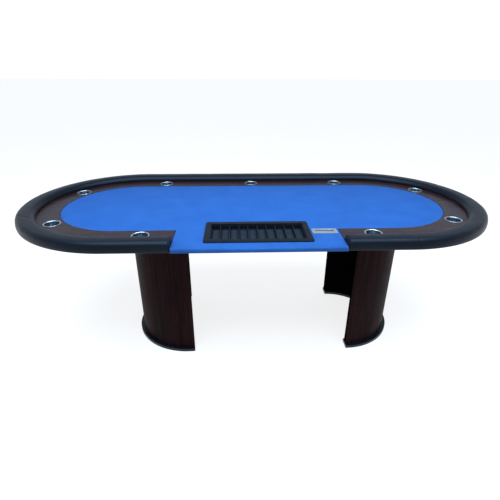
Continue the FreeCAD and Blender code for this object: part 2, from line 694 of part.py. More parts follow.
front_run = f"(end_centre - {RAIL_START})"
node(straight_cushion("back", "-end_centre", "2 * end_centre", False), "rail_cushion_back")
node(end_cushion("right", False), "rail_cushion_right")
node(end_cushion("left", True), "rail_cushion_left")
node(fuse("RailCushionFrontLeft", [straight_cushion("front_left", RAIL_START, front_run, True),
                                   end_wall("front_left", f"-{RAIL_START} - {END_WALL}")]),
     "rail_cushion_front_left")
node(fuse("RailCushionFrontRight", [straight_cushion("front_right", "-end_centre", front_run,
                                                     True),
                                    end_wall("front_right", RAIL_START)]),
     "rail_cushion_front_right")


# ---------------------------------------------------------------- frame under the deck

def beam(label, sign):
    """One long beam under the deck, on the leg plates."""
    low_y = f"{sign}beam_centre - beam_width / 2"
    return box(label + "_blank", ("-beam_half", low_y, BEAM_BOTTOM), "2 * beam_half",
               "beam_width", "beam_depth")


LEG_PLATE_BOTTOM = f"({BEAM_BOTTOM} - leg_plate_thickness)"
LEG_BOLT_REACH = (50, 150)
LEGS = {"left": ("(leg_shift - leg_half_gap)", 1, "leg_turn"),
        "right": ("(leg_shift + leg_half_gap)", -1, "0")}

leg_bolt_spots = [at(f"{chord} - {mouth * reach}", f"{sign}beam_centre",
                     f"{LEG_PLATE_BOTTOM} - washer_thickness")
                  for chord, mouth, _ in LEGS.values() for sign in ("-", "")
                  for reach in LEG_BOLT_REACH]
leg_bolt_holes = fastener_group("leg_bolt_holes", leg_bolt_hole, leg_bolt_spots)
node(fastener_group("LegBolts", leg_bolt, leg_bolt_spots), "leg_bolts")
node(fastener_group("LegWashers", washer, leg_bolt_spots), "leg_washers")

for side, sign in (("front", "-"), ("back", "")):
    node(cut(f"frame_beam_{side}_cut", beam(f"frame_beam_{side}", sign),
             [deck_screw_holes, frame_screw_holes, leg_bolt_holes]), f"frame_beam_{side}")

cross_places = {"left_end": "-cross_outer", "left": "-cross_inner", "right": "cross_inner",
                "right_end": "cross_outer"}
for side, x in cross_places.items():
    cross = box(f"frame_cross_{side}_blank",
                (f"{x} - beam_width / 2", "beam_width / 2 - beam_centre", BEAM_BOTTOM),
                "beam_width", "2 * beam_centre - beam_width", "beam_depth")
    node(cut(f"frame_cross_{side}_cut", cross, [frame_screw_holes]), f"frame_cross_{side}")

for end, x in (("left", "-cross_inner"), ("right", "cross_inner")):
    for side, low_y in (("front", "-outrigger_reach"), ("back", "beam_centre + beam_width / 2")):
        arm = box(f"frame_outrigger_{side}_{end}_blank",
                  (f"{x} - beam_width / 2", low_y, f"{DECK_BOTTOM} - outrigger_depth"),
                  "beam_width", "outrigger_reach - beam_centre - beam_width / 2",
                  "outrigger_depth")
        node(cut(f"frame_outrigger_{side}_{end}_cut", arm, [deck_screw_holes]),
             f"frame_outrigger_{side}_{end}")


# ---------------------------------------------------------------- legs

FOOT_SCREW_ANGLES = (12, 51, 90, 129, 168)
foot_screw_ring = "(leg_radius - leg_thickness / 2)"
foot_screw_spots = [at(f"{chord} - {mouth} * {foot_screw_ring} * sin({angle} + {turned})",
                       f"{foot_screw_ring} * cos({angle} + {turned})", 0)
                    for chord, mouth, turned in LEGS.values() for angle in FOOT_SCREW_ANGLES]
foot_screw_holes = fastener_group("foot_screw_holes", foot_screw_hole, foot_screw_spots)
node(fastener_group("FootScrews", foot_screw, foot_screw_spots), "foot_screws")

SHELL_INNER = "(leg_radius - leg_thickness)"
for side, (chord, mouth, turned) in LEGS.items():
    extra = size(turned)
    shell = half_ring(f"leg_shell_{side}_blank", (chord, 0, "foot_thickness"), "leg_radius",
                      SHELL_INNER, f"{BEAM_BOTTOM} - foot_thickness", mouth, extra)
    node(cut(f"leg_shell_{side}_cut", shell, [foot_screw_holes]), f"leg_shell_{side}")
    half_disc = cylinder(f"leg_plate_{side}_blank", (chord, 0, LEG_PLATE_BOTTOM), SHELL_INNER,
                         "leg_plate_thickness", 180, Rotation(Vector(0, 0, 1), 90 * mouth + extra))
    node(cut(f"leg_plate_{side}_cut", half_disc, [leg_bolt_holes]), f"leg_top_plate_{side}")
    foot = half_ring(f"leg_foot_{side}_blank", (chord, 0, 0), "leg_radius + foot_ledge",
                     f"{SHELL_INNER} - foot_ledge", "foot_thickness", mouth, extra)
    node(cut(f"leg_foot_{side}_cut", foot, [foot_screw_holes]), f"leg_foot_{side}")


# ---------------------------------------------------------------- check and export

doc.recompute()
for item in doc.Objects:
    if {"Invalid", "Error"} & set(item.State):
        raise RuntimeError(f"{item.Name} did not compute: {item.State}")
for item in NODES:
    if item.Shape.isNull() or not item.Shape.isValid():
        raise RuntimeError(f"{item.Label} has no valid shape")

os.makedirs("parts", exist_ok=True)
for item in NODES:
    item.Shape.exportStep(f"parts/{item.Label}.step")
    bounds = item.Shape.BoundBox
    print(f"{item.Label:28s} {len(item.Shape.Solids):3d} solids {item.Shape.Volume / 1e3:11.1f} cm3"
          f"  x {bounds.XMin:8.1f} {bounds.XMax:8.1f}  y {bounds.YMin:8.1f} {bounds.YMax:8.1f}"
          f"  z {bounds.ZMin:7.1f} {bounds.ZMax:7.1f}")
print(len(NODES), "nodes")
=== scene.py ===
"""How the poker table looks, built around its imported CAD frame.

Metres, in the frame of the CAD: +X along the table, -Y the dealer's side, +Z up. The cloth, the
foam, the padded rail, the cup holders and the chip tray are modelled here in detail. The boards,
the legs, the drop slot's plate, the underframe and the fasteners are the CAD's own pieces, with
materials from here.
"""

import math

import bmesh
import bpy
from mathutils import Matrix, Vector, noise


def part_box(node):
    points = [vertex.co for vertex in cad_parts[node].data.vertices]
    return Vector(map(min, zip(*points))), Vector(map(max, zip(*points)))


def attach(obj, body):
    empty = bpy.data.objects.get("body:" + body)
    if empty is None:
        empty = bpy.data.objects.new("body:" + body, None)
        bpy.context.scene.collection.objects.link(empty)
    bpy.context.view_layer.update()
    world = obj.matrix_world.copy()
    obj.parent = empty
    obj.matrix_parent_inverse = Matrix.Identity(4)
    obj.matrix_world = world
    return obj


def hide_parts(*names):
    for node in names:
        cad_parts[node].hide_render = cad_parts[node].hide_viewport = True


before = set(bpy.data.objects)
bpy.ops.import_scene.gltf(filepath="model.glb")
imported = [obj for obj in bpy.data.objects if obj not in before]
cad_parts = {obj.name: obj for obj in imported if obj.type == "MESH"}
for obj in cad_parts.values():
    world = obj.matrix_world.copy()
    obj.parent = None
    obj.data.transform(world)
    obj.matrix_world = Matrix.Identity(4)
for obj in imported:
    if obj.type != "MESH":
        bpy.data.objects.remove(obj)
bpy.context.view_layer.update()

# ---------------------------------------------------------------- sizes read from the frame

cloth_low, cloth_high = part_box("playing_cloth")
foam_low, foam_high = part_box("foam_underlay")
track_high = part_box("racetrack_back")[1]
rail_low, rail_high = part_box("rail_cushion_back")
core_low, core_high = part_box("rail_core_back")
tray_low, tray_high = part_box("chip_tray")
plate_low, plate_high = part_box("drop_slot_plate")

FELT_RADIUS = cloth_high.y
FELT_TOP = cloth_high.z
END_CENTRE = cloth_high.x - FELT_RADIUS
CUTOUT_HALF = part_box("racetrack_front_right")[0].x
DEALER_EDGE = -cloth_low.y
CLOTH_UNDER = cloth_low.z
RAIL_INNER = rail_low.y
RAIL_OUTER = rail_high.y
RAIL_MIDDLE = (RAIL_INNER + RAIL_OUTER) / 2
RAIL_FOOT = track_high.z
RAIL_CROWN = rail_high.z
RAIL_UNDER = rail_low.z
RAIL_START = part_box("rail_cushion_front_right")[0].x
BOARD_OUTER = track_high.y

CUPS = [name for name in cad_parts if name.startswith("cup_holder")]


# ---------------------------------------------------------------- mesh helpers

def finish_object(name, mesh_data, sharp_angle=40):
    """A new object from a bmesh, shaded smooth except at edges sharper than the angle."""
    bmesh.ops.recalc_face_normals(mesh_data, faces=mesh_data.faces)
    mesh = bpy.data.meshes.new(name)
    mesh_data.to_mesh(mesh)
    mesh_data.free()
    mesh.shade_smooth()
    mesh.set_sharp_from_angle(angle=math.radians(sharp_angle))
    item = bpy.data.objects.new(name, mesh)
    bpy.context.collection.objects.link(item)
    return item


def subdivide(item, levels):
    """A Catmull-Clark subdivision, the same in the view and the render."""
    modifier = item.modifiers.new("Subdivision", "SUBSURF")
    modifier.levels = levels
    modifier.render_levels = levels


def bridge(mesh_data, ring, following, closed=True):
    """Faces between two rings of vertices of the same length."""
    count = len(ring)
    for k in range(count if closed else count - 1):
        after = (k + 1) % count
        mesh_data.faces.new((ring[k], ring[after], following[after], following[k]))


def lathe(name, profile, segments):
    """A profile of (radius, height) pairs spun about Z; a radius of 0 closes it at the axis."""
    mesh_data = bmesh.new()
    rings = []
    for radius, height in profile:
        if radius == 0:
            rings.append([mesh_data.verts.new((0, 0, height))])
            continue
        angles = [math.tau * k / segments for k in range(segments)]
        rings.append([mesh_data.verts.new((radius * math.cos(a), radius * math.sin(a), height))
                      for a in angles])
    for ring, following in zip(rings, rings[1:]):
        if len(ring) == 1 or len(following) == 1:
            tip, rim = (ring, following) if len(ring) == 1 else (following, ring)
            for k in range(segments):
                mesh_data.faces.new((tip[0], rim[k], rim[(k + 1) % segments]))
        else:
            bridge(mesh_data, ring, following)
    return finish_object(name, mesh_data)


def arc_points(centre, radius, start, end, steps):
    """Points on an arc in a plane, angles in degrees."""
    for k in range(steps + 1):
        angle = math.radians(start + (end - start) * k / steps)
        yield (centre[0] + radius * math.cos(angle), centre[1] + radius * math.sin(angle))


# ---------------------------------------------------------------- materials

def rgb(red, green, blue):
    """A linear colour from sRGB values of 0 to 255."""
    def linear(value):
        value /= 255
        return value / 12.92 if value <= 0.04045 else ((value + 0.055) / 1.055) ** 2.4
    return (linear(red), linear(green), linear(blue), 1.0)


class Nodes:
    """A node tree, built up node by node."""

    def __init__(self, tree):
        self.tree = tree

    def join(self, value, socket):
        """Link an output to an input, or set the input to a plain value."""
        if isinstance(value, bpy.types.NodeSocket):
            self.tree.links.new(value, socket)
        else:
            socket.default_value = value

    def add(self, kind, inputs=None, **settings):
        """A node with its settings and inputs; inputs are keyed by name or index."""
        item = self.tree.nodes.new("ShaderNode" + kind)
        for key, value in settings.items():
            setattr(item, key, value)
        for key, value in (inputs or {}).items():
            self.join(value, item.inputs[key])
        return item

    def spread(self, value, low, high, to_low=0.0, to_high=1.0):
        """A value mapped from one range to another, held inside it."""
        return self.add("MapRange", {0: value, 1: low, 2: high, 3: to_low, 4: to_high}).outputs[0]

    def mix(self, factor, first, second):
        """Two colours mixed."""
        return self.add("Mix", {0: factor, 6: first, 7: second}, data_type="RGBA").outputs[2]


class Finish(Nodes):
    """One procedural material; its textures are placed in metres."""

    def __init__(self, name):
        self.material = bpy.data.materials.new(name)
        self.material.use_nodes = True
        super().__init__(self.material.node_tree)
        self.surface = self.tree.nodes["Principled BSDF"]
        self.position = self.add("TexCoord").outputs["Object"]

    def stretched(self, scale):
        """The position with each axis scaled."""
        return self.add("Mapping", {"Vector": self.position, "Scale": scale}).outputs[0]

    def noise(self, scale, detail=3.0, roughness=0.5, distortion=0.0, vector=None):
        """Noise from 0 to 1; scale is roughly its features per metre."""
        return self.add("TexNoise", {"Vector": vector or self.position, "Scale": scale,
                                     "Detail": detail, "Roughness": roughness,
                                     "Distortion": distortion}).outputs[0]

    def bands(self, period, direction, distortion=0.0):
        """Even bands across one axis, from 0 to 1, one per period."""
        wave = self.add("TexWave", {"Vector": self.position, "Scale": math.tau / (20 * period),
                                    "Distortion": distortion},
                        wave_type="BANDS", bands_direction=direction)
        return wave.outputs["Fac"]

    def calc(self, operation, *values, clamp=False):
        """One step of arithmetic on numbers."""
        return self.add("Math", dict(enumerate(values)), operation=operation,
                        use_clamp=clamp).outputs[0]

    def ramp(self, value, *stops):
        """A colour from a value by (place, colour) stops."""
        item = self.add("ValToRGB", {0: value})
        elements = item.color_ramp.elements
        while len(elements) < len(stops):
            elements.new(0.5)
        for element, (place, colour) in zip(elements, stops):
            element.position = place
            element.color = colour
        return item.outputs[0]

    def bump(self, height, distance, under=None):
        """A surface normal from a height, over an earlier one."""
        inputs = {"Height": height, "Distance": distance, "Strength": 1.0}
        if under is not None:
            inputs["Normal"] = under
        return self.add("Bump", inputs).outputs[0]

    def upright_faces(self):
        """1 on faces that stand upright, 0 on faces that lie flat."""
        normal = self.add("NewGeometry").outputs["True Normal"]
        height = self.add("SeparateXYZ", {0: normal}).outputs[2]
        return self.calc("LESS_THAN", self.calc("ABSOLUTE", height), 0.5)

    def done(self, **inputs):
        """Set the surface and give back the material."""
        for key, value in inputs.items():
            self.join(value, self.surface.inputs[key.replace("_", " ")])
        return self.material


THREAD_PITCH = 0.0011
PLY_THICKNESS = 0.003
TURNED_RING_PITCH = 0.0007

# Heights from the racetrack's top between which painted shade turns a cup's steel darker.
CUP_PAINTED_SHADE = (-0.004, -0.03)

# Along its normal, a leg's outer face is further than this from the axis that it is bent about.
LEG_OUTSIDE_REACH = 0.15

# Heights between which painted light turns the tray paler, towards its row floors (as if lit from
#  overhead) and its dividers' tops (a painted highlight), and darker again above those.
ROW_FLOOR_PAINTED_LIGHT = (FELT_TOP - 0.019, FELT_TOP - 0.028)
DIVIDER_HIGHLIGHT_BELOW = (FELT_TOP - 0.0036, FELT_TOP - 0.0022)
DIVIDER_HIGHLIGHT_ABOVE = (FELT_TOP - 0.0018, FELT_TOP - 0.0008)


def felt_material():
    """Blue woven speed cloth: fine threads both ways, a little nap, faint mottling."""
    look = Finish("playing_cloth")
    threads = look.calc("MULTIPLY", look.bands(THREAD_PITCH, "X"), look.bands(THREAD_PITCH, "Y"))
    nap = look.noise(1400.0, 2.0)
    mottle = look.noise(9.0, 4.0, 0.6)
    base = look.ramp(mottle, (0.25, rgb(34, 77, 136)), (0.75, rgb(40, 86, 147)))
    flecked = look.mix(look.spread(nap, 0.55, 0.8), base, rgb(58, 108, 172))
    coloured = look.mix(look.spread(threads, 0.0, 0.35, 0.22, 0.0), flecked, rgb(17, 44, 88))
    normal = look.bump(look.noise(60.0, 3.0), 0.0003, look.bump(threads, 0.00018))
    return look.done(Base_Color=coloured, Roughness=0.9, Normal=normal, Sheen_Weight=0.05,
                     Sheen_Roughness=0.5, Sheen_Tint=rgb(120, 170, 255), Specular_IOR_Level=0.04)


def foam_material():
    """Pale grey cut foam, with open cells."""
    look = Finish("foam")
    cells = look.add("TexVoronoi", {"Vector": look.position, "Scale": 900.0}).outputs[0]
    colour = look.ramp(look.noise(300.0, 3.0), (0.3, rgb(92, 94, 98)), (0.7, rgb(134, 136, 140)))
    return look.done(Base_Color=colour, Roughness=0.95, Normal=look.bump(cells, 0.0006))


def vinyl_material():
    """Black upholstery vinyl: pebbled grain, slow creases and a worn satin sheen."""
    look = Finish("rail_vinyl")
    pebbles = look.add("TexVoronoi", {"Vector": look.position, "Scale": 520.0},
                       feature="SMOOTH_F1").outputs[0]
    creases = look.noise(45.0, 5.0, 0.55, 0.8)
    rub = look.noise(6.0, 4.0, 0.6)
    colour = look.ramp(rub, (0.3, rgb(7, 11, 16)), (0.75, rgb(10, 15, 21)))
    normal = look.bump(creases, 0.0006, look.bump(pebbles, 0.0002))
    return look.done(Base_Color=colour, Roughness=look.spread(rub, 0.3, 0.8, 0.42, 0.36),
                     Normal=normal, Specular_IOR_Level=0.17, Specular_Tint=rgb(206, 228, 255))


def wood_colour(look, grain, dark, middle, light, streak):
    """Colour and height of wood with its grain along one axis: figure, fine lines and pores."""
    def fibres(across, along):
        return look.stretched([along if axis == grain else across for axis in "XYZ"])
    figure = look.noise(1.0, 6.0, 0.62, 1.1, fibres(17.0, 1.1))
    fine = look.noise(1.0, 4.0, 0.7, 0.3, fibres(160.0, 3.5))
    pores = look.noise(1.0, 2.0, 0.5, 0.0, fibres(620.0, 16.0))
    colour = look.ramp(figure, (0.3, dark), (0.5, middle), (0.72, light))
    colour = look.mix(look.spread(fine, 0.42, 0.75, 0.0, 0.55), colour, streak)
    colour = look.mix(look.spread(pores, 0.56, 0.7, 0.0, 0.6), colour, rgb(8, 6, 6))
    return colour, look.calc("ADD", fine, look.spread(pores, 0.7, 0.5))


def racetrack_material():
    """Dark lacquered veneer with reddish streaks, on a brown board that shows at its edges."""
    look = Finish("racetrack_veneer")
    colour, height = wood_colour(look, "X", rgb(13, 7, 8), rgb(26, 15, 16), rgb(38, 24, 25),
                                 rgb(62, 28, 26))
    edge = look.ramp(look.noise(260.0, 4.0), (0.3, rgb(34, 22, 18)), (0.7, rgb(56, 38, 30)))
    upright = look.upright_faces()
    smudge = look.noise(11.0, 4.0, 0.6)
    gloss = look.spread(smudge, 0.3, 0.75, 0.13, 0.19)
    return look.done(Base_Color=look.mix(upright, colour, edge), Normal=look.bump(height, 0.00012),
                     Roughness=look.calc("MAXIMUM", gloss, look.calc("MULTIPLY", upright, 0.8)),
                     Specular_IOR_Level=0.15)


def leg_material(name, centre):
    """Dark veneer with upright grain outside, matt black paint inside and on the ends."""
    look = Finish(name)
    colour, height = wood_colour(look, "Z", rgb(8, 6, 7), rgb(20, 14, 15), rgb(31, 22, 22),
                                 rgb(66, 23, 23))
    from_axis = look.add("VectorMath", {0: look.position, 1: centre},
                         operation="SUBTRACT").outputs[0]
    normal = look.add("NewGeometry").outputs["True Normal"]
    facing = look.add("VectorMath", {0: from_axis, 1: normal}, operation="DOT_PRODUCT")
    outside = look.calc("GREATER_THAN", facing.outputs["Value"], LEG_OUTSIDE_REACH)
    paint = look.ramp(look.noise(30.0, 4.0), (0.35, rgb(3, 3, 4)), (0.7, rgb(6, 6, 7)))
    scuffs = look.noise(14.0, 5.0, 0.65)
    return look.done(Base_Color=look.mix(outside, paint, colour),
                     Roughness=look.spread(scuffs, 0.3, 0.75, 0.46, 0.58),
                     Normal=look.bump(height, 0.0001),
                     Specular_IOR_Level=look.calc("MULTIPLY", outside, 0.025))


def foot_material():
    """Black laminate with scuffs, its base colour lifted and tinted blue as a painted bluish
    highlight.
    """
    look = Finish("foot_black")
    scuffs = look.noise(35.0, 6.0, 0.7, 0.5)
    # Painted highlight: the base colours are lifted and bluish, standing in for the light on the
    # ledge.
    colour = look.ramp(scuffs, (0.45, rgb(13, 19, 26)), (0.85, rgb(27, 35, 45)))
    return look.done(Base_Color=colour, Roughness=look.spread(scuffs, 0.3, 0.8, 0.25, 0.5),
                     Normal=look.bump(look.noise(900.0, 2.0), 0.00006), Specular_IOR_Level=0.28)


def plywood_material(name, faces, edges):
    """Plywood: its face grain in four tones, and its layers in two on the upright edges."""
    look = Finish(name)
    colour, height = wood_colour(look, "X", *faces)
    layers = look.bands(PLY_THICKNESS, "Z", 0.4)
    edge = look.ramp(layers, (0.35, edges[0]), (0.6, edges[1]))
    return look.done(Base_Color=look.mix(look.upright_faces(), colour, edge), Roughness=0.7,
                     Normal=look.bump(height, 0.0002))


def timber_material(grain):
    """Planed timber stained black, with its grain along one axis."""
    look = Finish("frame_timber_" + grain.lower())
    colour, height = wood_colour(look, grain, rgb(26, 23, 21), rgb(40, 36, 33),
                                 rgb(58, 52, 47), rgb(22, 19, 18))
    return look.done(Base_Color=colour, Roughness=0.65, Normal=look.bump(height, 0.0003))


def steel_material():
    """Polished spun steel: fine turned rings and smudges, with painted shade down inside the cup.
    """
    look = Finish("stainless")
    radius = look.add("VectorMath", {0: look.stretched((1, 1, 0))}, operation="LENGTH")
    rings = look.calc("SINE", look.calc("MULTIPLY", radius.outputs["Value"],
                                        math.tau / TURNED_RING_PITCH))
    smudge = look.noise(70.0, 4.0, 0.6)
    colour = look.ramp(smudge, (0.3, rgb(190, 200, 206)), (0.7, rgb(214, 222, 226)))
    height = look.add("SeparateXYZ", {0: look.position}).outputs[2]
    # Painted shade: the steel turns darker down inside the cup.
    cup_shade = look.spread(height, *CUP_PAINTED_SHADE)
    colour = look.mix(cup_shade, colour, rgb(158, 169, 178))
    return look.done(Base_Color=colour, Metallic=1.0,
                     Roughness=look.spread(smudge, 0.3, 0.75, 0.2, 0.3),
                     Normal=look.bump(rings, 0.000006))


def brushed_material():
    """Brushed plate steel, with its lines along the table."""
    look = Finish("slot_metal")
    lines = look.noise(1.0, 3.0, 0.6, 0.0, look.stretched((12.0, 1800.0, 1800.0)))
    wear = look.noise(60.0, 4.0)
    colour = look.ramp(lines, (0.3, rgb(180, 188, 190)), (0.7, rgb(208, 214, 216)))
    return look.done(Base_Color=colour, Metallic=1.0,
                     Roughness=look.spread(wear, 0.3, 0.7, 0.34, 0.46),
                     Normal=look.bump(lines, 0.00003))


def fastener_material():
    """Zinc-plated steel."""
    look = Finish("fastener_steel")
    bloom = look.noise(240.0, 4.0)
    colour = look.ramp(bloom, (0.3, rgb(140, 144, 146)), (0.7, rgb(186, 190, 192)))
    return look.done(Base_Color=colour, Metallic=1.0,
                     Roughness=look.spread(bloom, 0.3, 0.7, 0.3, 0.5),
                     Normal=look.bump(bloom, 0.00004))


def tray_material():
    """Moulded black plastic with a satin texture; painted light makes its row floors and dividers'
    tops paler.
    """
    look = Finish("tray_plastic")
    stipple = look.noise(1300.0, 2.0)
    rub = look.noise(22.0, 4.0, 0.6)
    colour = look.ramp(rub, (0.3, rgb(17, 20, 24)), (0.75, rgb(22, 26, 31)))
    height = look.add("SeparateXYZ", {0: look.position}).outputs[2]
    # Painted light: paler row floors stand in for overhead light, paler divider tops for their
    # highlight.
    floor = look.spread(height, *ROW_FLOOR_PAINTED_LIGHT)
    divider_highlight = look.calc("SUBTRACT", look.spread(height, *DIVIDER_HIGHLIGHT_BELOW),
                      look.spread(height, *DIVIDER_HIGHLIGHT_ABOVE), clamp=True)
    colour = look.mix(look.calc("MAXIMUM", floor, divider_highlight), colour, rgb(37, 44, 51))
    return look.done(Base_Color=colour, Roughness=look.spread(rub, 0.3, 0.8, 0.42, 0.32),
                     Normal=look.bump(stipple, 0.00008), Specular_IOR_Level=0.04)


FELT = felt_material()
FOAM = foam_material()
VINYL = vinyl_material()
STEEL = steel_material()
TRAY = tray_material()
PLYWOOD = plywood_material("birch_plywood",
                           (rgb(168, 130, 88), rgb(190, 152, 108), rgb(205, 170, 126),
                            rgb(160, 118, 76)), (rgb(96, 66, 40), rgb(196, 158, 112)))
# The deck's plywood is coloured dark all over; where it shows in the gap beside the cloth, this
# dark is painted shade.
DARKENED_DECK_PLYWOOD = plywood_material("darkened_deck_plywood",
                                (rgb(24, 18, 16), rgb(34, 27, 24), rgb(46, 37, 32),
                                 rgb(20, 15, 13)), (rgb(11, 9, 9), rgb(20, 17, 17)))
FASTENER = fastener_material()
TIMBER = {grain: timber_material(grain) for grain in "XY"}


# ---------------------------------------------------------------- padded rail

FRONT_RUN = END_CENTRE - RAIL_START
END_ARC = math.pi * RAIL_MIDDLE
RAIL_LENGTH = 2 * (FRONT_RUN + END_ARC + END_CENTRE)

# The section: its roundings, the crown's dome, the side's bulge and the gaps to the boards.
INNER_ROUND = 0.030
OUTER_ROUND = 0.024
ROUND_STEPS = 8
INNER_ARC_START = 175
CROWN_DOME = 0.0012
SIDE_BULGE = 0.0016
BULGE_RISE = 0.01
FOOT_INSET = 0.0012
FOOT_WIDTH = 0.004
LIP_GAP = 0.0006
CORE_GAP = 0.002

# The corners under the lip: (in from the lip's side, up from its underside).
LIP_OUTER_CORNER = ((0.0, 0.003), (0.002, 0.0005), (0.005, 0.0))
LIP_INNER_CORNER = ((0.001, 0.0), (0.0, 0.002))

# The two ends at the dealer's cut-out, and how much smaller the section is at the very end.
END_ROUND = 0.011
END_ROUND_STEPS = 6
END_NARROWING = 0.1
END_LOWERING = 0.36

# Cross-sections along the rail: their step, and their offsets to either side of a seam.
RAIL_STEP = 0.014
SEAM_CLEARANCE = 0.02
SEAM_OFFSETS = (0.0012, 0.0025, 0.0045, 0.008, 0.014)

# A seam's groove and the wider pull beside it, and how far along its slant fades out.
SEAM_DEPTH = 0.001
SEAM_WIDTH = 0.0035
SEAM_PULL = 0.0005
SEAM_PULL_WIDTH = 0.03
SLANT_REACH = 0.15

# The foot stays put: where it is pinned in the simulation, and where sewing starts above it.
PINNED_BELOW = RAIL_FOOT + 0.0015
SEWN_ABOVE = RAIL_FOOT + 0.001
SPINE_HEIGHT = RAIL_FOOT + 0.006

# The padding's slow unevenness, as (height, waves per metre).
UNEVENNESS = ((0.0008, 9), (0.0005, 28))


def track_point(along, reach):
    """The place at a distance along the rail, from its front left end, and a reach outwards."""
    right = along > RAIL_LENGTH / 2
    run = RAIL_LENGTH - along if right else along
    if run < FRONT_RUN:
        x, y = RAIL_START + run, -reach
    elif run < FRONT_RUN + END_ARC:
        angle = (run - FRONT_RUN) / RAIL_MIDDLE - math.pi / 2
        x, y = END_CENTRE + reach * math.cos(angle), reach * math.sin(angle)
    else:
        x, y = END_CENTRE - (run - FRONT_RUN - END_ARC), reach
    return (x if right else -x), y


def seam_place(degrees, right):
    """How far along the rail a seam is, from its angle about an end's centre."""
    run = FRONT_RUN + RAIL_MIDDLE * math.radians(90 + degrees)
    return RAIL_LENGTH - run if right else run


# Each seam in the vinyl: its place along the rail, and how far it runs along it per metre of
# reach outwards.
SEAMS = [(seam_place(-29, right=False), 1.28), (seam_place(-88, right=True), 0.0),
         (seam_place(26.6, right=True), 0.0)]


def rail_section(hollow):
    """The padding's outline as (reach, height) pairs, from its inner foot over the crown."""
    shoulder = RAIL_CROWN - CROWN_DOME
    points = [(RAIL_INNER + FOOT_INSET, RAIL_FOOT + LIP_GAP)]
    points += arc_points((RAIL_INNER + INNER_ROUND, shoulder - INNER_ROUND), INNER_ROUND,
                         INNER_ARC_START, 90, ROUND_STEPS)
    points.append((RAIL_MIDDLE + (INNER_ROUND - OUTER_ROUND) / 2, RAIL_CROWN))
    points += arc_points((RAIL_OUTER - OUTER_ROUND, shoulder - OUTER_ROUND), OUTER_ROUND,
                         90, 0, ROUND_STEPS)
    points += [(RAIL_OUTER + SIDE_BULGE, RAIL_FOOT),
               (RAIL_OUTER + SIDE_BULGE, RAIL_UNDER + BULGE_RISE)]
    points += [(RAIL_OUTER - inwards, RAIL_UNDER + up) for inwards, up in LIP_OUTER_CORNER]
    lip_inner = BOARD_OUTER + LIP_GAP
    points += [(lip_inner + outwards, RAIL_UNDER + up) for outwards, up in LIP_INNER_CORNER]
    foot = RAIL_FOOT + LIP_GAP / 2
    roof = core_high.z + CORE_GAP if hollow else foot
    core_outer, core_inner = core_high.y + CORE_GAP, core_low.y - CORE_GAP
    points += [(lip_inner, foot), (core_outer, foot), (core_outer, roof), (core_inner, roof),
               (core_inner, foot), (RAIL_INNER + FOOT_WIDTH, foot)]
    return points


def rounded_in(reach, height, share):
    """A point of the section drawn in at the rail's end; share goes from 0 to 1."""
    side = 1 - share * END_NARROWING
    top = 1 - share * END_LOWERING if height > RAIL_FOOT else 1
    return RAIL_MIDDLE + (reach - RAIL_MIDDLE) * side, RAIL_FOOT + (height - RAIL_FOOT) * top


def rail_stations():
    """Places along the rail for its cross-sections, closer together at the seams and ends."""
    count = round(RAIL_LENGTH / RAIL_STEP)
    places = [RAIL_LENGTH * k / count for k in range(1, count)]
    places = [along for along in places if END_ROUND < along < RAIL_LENGTH - END_ROUND
              and all(abs(along - seam) > SEAM_CLEARANCE for seam, _ in SEAMS)]
    for seam, _ in SEAMS:
        places.append(seam)
        for offset in SEAM_OFFSETS:
            places += [seam - offset, seam + offset]
    for k in range(END_ROUND_STEPS + 1):
        inset = END_ROUND * (1 - math.sin(math.pi / 2 * k / END_ROUND_STEPS))
        places += [inset, RAIL_LENGTH - inset]
    return sorted(places)


def rail_mesh():
    """The swept padding before it is inflated, and (along, reach) for each vertex."""
    mesh_data = bmesh.new()
    spots = []
    rings = []
    for along in rail_stations():
        from_end = min(along, RAIL_LENGTH - along)
        rise = max(0.0, 1 - from_end / END_ROUND)
        share = 1 - math.sqrt(1 - rise * rise)
        ring = []
        for reach, height in rail_section(hollow=from_end > END_ROUND):
            reach, height = rounded_in(reach, height, share)
            place = along
            for seam, lean in SEAMS:
                near = math.exp(-((along - seam) / SLANT_REACH) ** 2)
                place += lean * (reach - RAIL_MIDDLE) * near
            x, y = track_point(place, reach)
            ring.append(mesh_data.verts.new((x, y, height)))
            spots.append((along, reach))
        rings.append(ring)
    for ring, following in zip(rings, rings[1:]):
        bridge(mesh_data, ring, following)
    for ring in (rings[0], rings[-1]):
        mesh_data.faces.new(ring)
    return finish_object("rail_padding", mesh_data, sharp_angle=180), spots


def inflate(item, pinned, pressure, frames, cap):
    """Cloth simulation: push the skin out from inside, hold the pinned vertices, cap the move."""
    rest = [v.co.copy() for v in item.data.vertices]
    group = item.vertex_groups.new(name="pinned")
    group.add(pinned, 1.0, "REPLACE")
    modifier = item.modifiers.new("Cloth", "CLOTH")
    settings = modifier.settings
    settings.vertex_group_mass = group.name
    settings.use_pressure = True
    settings.uniform_pressure_force = pressure
    settings.mass = 0.4
    settings.tension_stiffness = 60
    settings.compression_stiffness = 60
    settings.shear_stiffness = 20
    settings.bending_stiffness = 4
    settings.effector_weights.gravity = 0
    modifier.collision_settings.use_collision = False
    scene = bpy.context.scene
    for step in range(1, frames + 1):
        scene.frame_set(step)
    shape = item.evaluated_get(bpy.context.evaluated_depsgraph_get())
    moved = [v.co.copy() for v in shape.data.vertices]
    item.modifiers.remove(modifier)
    scene.frame_set(1)
    for vertex, old, new in zip(item.data.vertices, rest, moved):
        step = new - old
        if step.length > cap:
            step *= cap / step.length
        vertex.co = old + step
    item.vertex_groups.remove(group)


